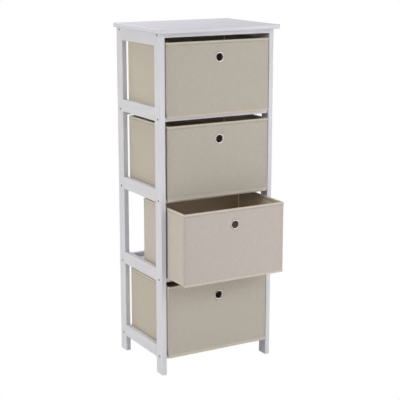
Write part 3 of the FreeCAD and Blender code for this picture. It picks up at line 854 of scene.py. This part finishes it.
def cut_finger_hole(piece, box):
    """Cut the hole through the front with a round bar."""
    bm = bmesh.new()
    turn = Matrix.Rotation(math.pi / 2, 4, "X")
    place = Matrix.Translation((box.eyelet.x, box.low.y + box.wall / 2, box.eyelet.z))
    bmesh.ops.create_cone(bm, cap_ends=True, segments=HOLE_SIDES, radius1=FINGER_HOLE_RADIUS,
                          radius2=FINGER_HOLE_RADIUS, depth=box.wall + 2 * HOLE_OVERRUN, matrix=place @ turn)
    bar_mesh = bpy.data.meshes.new("finger_hole_bar")
    bm.to_mesh(bar_mesh)
    bm.free()
    bar = bpy.data.objects.new("finger_hole_bar", bar_mesh)
    scene.collection.objects.link(bar)
    cutting = piece.modifiers.new("finger_hole", "BOOLEAN")
    cutting.operation = "DIFFERENCE"
    cutting.solver = "EXACT"
    cutting.object = bar
    cut_piece = piece.evaluated_get(bpy.context.evaluated_depsgraph_get())
    cut_mesh = bpy.data.meshes.new_from_object(cut_piece)
    piece.modifiers.clear()
    piece.data = cut_mesh
    bpy.data.objects.remove(bar)


for number in BOX_NUMBERS:
    box = BoxSize(number)
    bm = extrude_box(box)
    divide_panels(bm, box)
    wrinkle_box(bm, box)
    lay_threads(bm)
    body = f"drawer_{number}"
    cover = new_piece(f"{body}_sewn_cover", bm, box_cloth[number], body)
    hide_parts(f"drawer_{number}_fabric_cover")
    cut_finger_hole(cover, box)
    print(cover.name, len(cover.data.polygons), "faces")

# %% [markdown]
# ## The front hem
#
# At the front the cloth runs on below the box and is folded up behind, so that it hides the edge of the
# shelf. Such a fold is a flat loop with a round lower edge. A bar of that size, with its long edges
# bevelled round and enough cross cuts to wave a little, is simpler than folding a sheet and looks the
# same from every side.

# %% Fold the front hems
FRONT_HEM_HEIGHT = 0.0062
FRONT_HEM_PROUD = 0.001
FRONT_HEM_THICKNESS = 0.0026
FRONT_HEM_ROUND = 0.0011
FRONT_HEM_STEPS = 4
FRONT_HEM_WAVE = 0.0005
FRONT_HEM_WAVES_PER_METRE = 20


def fold_front_hem(box):
    """The folded edge of the cloth below the front of a box."""
    bm = bmesh.new()
    bmesh.ops.create_cube(bm, size=1)
    sag = box.low.z - box.hem_low
    size = Vector((2 * box.half.x, FRONT_HEM_THICKNESS, FRONT_HEM_HEIGHT + sag))
    bmesh.ops.scale(bm, vec=size, verts=bm.verts)
    corner = Vector((box.middle.x, box.low.y - FRONT_HEM_PROUD, box.hem_low))
    place = corner + Vector((0, size.y / 2, size.z / 2))
    bmesh.ops.translate(bm, vec=place, verts=bm.verts)
    round_off(bm, bm.edges[:], FRONT_HEM_ROUND, FRONT_HEM_STEPS)
    long_edges = [edge for edge in bm.edges if edge.calc_length() > box.half.x]
    cuts = round(size.x / COLUMN_SPACING) - 1
    bmesh.ops.subdivide_edges(bm, edges=long_edges, cuts=cuts, use_grid_fill=True)
    tone_layer = bm.verts.layers.float.new("tone")
    for vert in bm.verts:
        is_hem = vert.co.z - box.hem_low < FRONT_HEM_HEIGHT + sag / 2
        vert[tone_layer] = TONE_FRONT_HEM if is_hem else TONE_PANEL
        slack = (place.z + size.z / 2 - vert.co.z) / size.z
        wave = noise.noise(Vector((vert.co.x * FRONT_HEM_WAVES_PER_METRE, 0, box.rim)))
        vert.co.y -= FRONT_HEM_WAVE * slack * abs(wave)
    return bm


for number in BOX_NUMBERS:
    bm = fold_front_hem(BoxSize(number))
    lay_threads(bm)
    body = f"drawer_{number}"
    hem = new_piece(f"{body}_front_hem", bm, box_cloth[number], body)
    print(hem.name, len(hem.data.polygons), "faces")

# %% [markdown]
# ## Stitches and lining seams
#
# Every hem is held by a row of stitches, and so is each upright edge. A stitch is a short loop of thread
# that dips into the cloth at both ends, so a small stretched ball, half sunk in the cloth, is all that
# shows of it. There are over a thousand on a box, so each has only two dozen faces. The boxes are all
# one size, so one set of stitches is sewn, and each box gets a copy, which follows its bow, and a row
# along its own front hem. Inside, a narrow tape covers each corner seam.

# %% Sew one set of stitches
STITCH_PITCH = 0.0036
STITCH_LENGTH = 0.0027
STITCH_WIDTH = 0.0006
STITCH_INSET = 0.0012
# The ball that each stitch is stretched from: one metre across, with few sides and rings.
BALL_RADIUS = 0.5
BALL_SIDES = 6
BALL_RINGS = 4


def sew(bm, start, end):
    """A row of stitches from one point to another."""
    run = Vector(end) - Vector(start)
    count = int(run.length / STITCH_PITCH)
    turn = run.to_track_quat("Z", "Y").to_matrix().to_4x4()
    stretch = Matrix.Diagonal((STITCH_WIDTH, STITCH_WIDTH, STITCH_LENGTH, 1))
    row = bmesh.new()
    for stitch in range(count):
        place = Matrix.Translation(Vector(start) + run * (stitch + 0.5) / count)
        bmesh.ops.create_uvsphere(row, u_segments=BALL_SIDES, v_segments=BALL_RINGS, radius=BALL_RADIUS,
                                  matrix=place @ turn @ stretch)
    row_mesh = bpy.data.meshes.new("row_of_stitches")
    row.to_mesh(row_mesh)
    row.free()
    bm.from_mesh(row_mesh)
    bpy.data.meshes.remove(row_mesh)


def sew_level_row(bm, box, height, inset, walls):
    """Stitches along some of the four walls, at one height."""
    reach_x = box.half.x - max(inset, 0) - CORNER_ROUND
    reach_y = box.half.y - max(inset, 0) - CORNER_ROUND
    left, right = box.middle.x - reach_x, box.middle.x + reach_x
    front, back = box.middle.y - reach_y, box.middle.y + reach_y
    rows = {
        "front": ((left, box.low.y + inset), (right, box.low.y + inset)),
        "back": ((left, box.high.y - inset), (right, box.high.y - inset)),
        "left": ((box.low.x + inset, front), (box.low.x + inset, back)),
        "right": ((box.high.x - inset, front), (box.high.x - inset, back)),
    }
    for wall in walls:
        start, end = rows[wall]
        sew(bm, (*start, height), (*end, height))


def sew_upright_rows(bm, box):
    """Stitches beside every upright edge, on both of its walls."""
    low, high = box.foot + FOOT_FOLD, box.rim - HEM_HEIGHT
    for side in (-1, 1):
        seam_x = box.middle.x + side * (box.half.x - SEAM_INSET)
        seam_y = box.middle.y + side * (box.half.y - SEAM_INSET)
        for wall_y in (box.low.y, box.high.y):
            sew(bm, (seam_x, wall_y, low), (seam_x, wall_y, high))
        for wall_x in (box.low.x, box.high.x):
            sew(bm, (wall_x, seam_y, low), (wall_x, seam_y, high))


def sew_box(box):
    """All the stitches that are alike on every box."""
    bm = bmesh.new()
    all_walls = ("front", "back", "left", "right")
    rim_row = box.rim - HEM_HEIGHT + STITCH_INSET
    sew_level_row(bm, box, rim_row, -HEM_PROUD, all_walls)
    sew_level_row(bm, box, rim_row, box.wall + HEM_PROUD, all_walls)
    sew_upright_rows(bm, box)
    return bm


first_stitches = sew_box(first_box)
print("one set of stitches:", len(first_stitches.faces), "faces")

# %% Give each box its stitches and its tape
TAPE_RADIUS = 0.0008
TAPE_SIDES = 12


def tape_corners(box):
    """A narrow tape up each inside corner of the lining."""
    bm = bmesh.new()
    height = box.rim - HEM_HEIGHT - box.floor
    for side_x in (-1, 1):
        for side_y in (-1, 1):
            place = Matrix.Translation((
                box.middle.x + side_x * (box.half.x - box.wall - TAPE_RADIUS / 2),
                box.middle.y + side_y * (box.half.y - box.wall - TAPE_RADIUS / 2),
                box.floor + height / 2,
            ))
            bmesh.ops.create_cone(bm, cap_ends=True, segments=TAPE_SIDES, radius1=TAPE_RADIUS,
                                  radius2=TAPE_RADIUS, depth=height, matrix=place)
    return bm


for number in BOX_NUMBERS:
    box = BoxSize(number)
    body = f"drawer_{number}"
    bm = first_stitches.copy()
    bmesh.ops.translate(bm, vec=box.low - first_box.low, verts=bm.verts)
    bow_sides(bm, box)
    hem_row = box.hem_low + FRONT_HEM_HEIGHT - 2 * STITCH_INSET
    sew_level_row(bm, box, hem_row, -FRONT_HEM_PROUD, ["front"])
    stitches = new_piece(f"{body}_stitches", bm, sewing_thread, body)
    tape = new_piece(f"{body}_lining_tape", tape_corners(box), seam_tape_painted_glow, body)
    print(stitches.name, len(stitches.data.polygons), "faces;", tape.name, len(tape.data.polygons), "faces")
first_stitches.free()

# %% [markdown]
# ## A last measure
#
# A finish shouldn't make the tower larger. The hems and the bowed sides stand a little proud of the plain
# CAD boxes, yet nothing may stick out of the box round the whole tower. So that box is measured once more,
# and how much it has grown since the start is printed, where a difference would show at once.

# %% Compare the sizes
low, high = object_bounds()
growth = (high - low) - (cad_high - cad_low)
print("visual box grows by", [round(size * MILLIMETRES, 2) for size in growth], "mm")
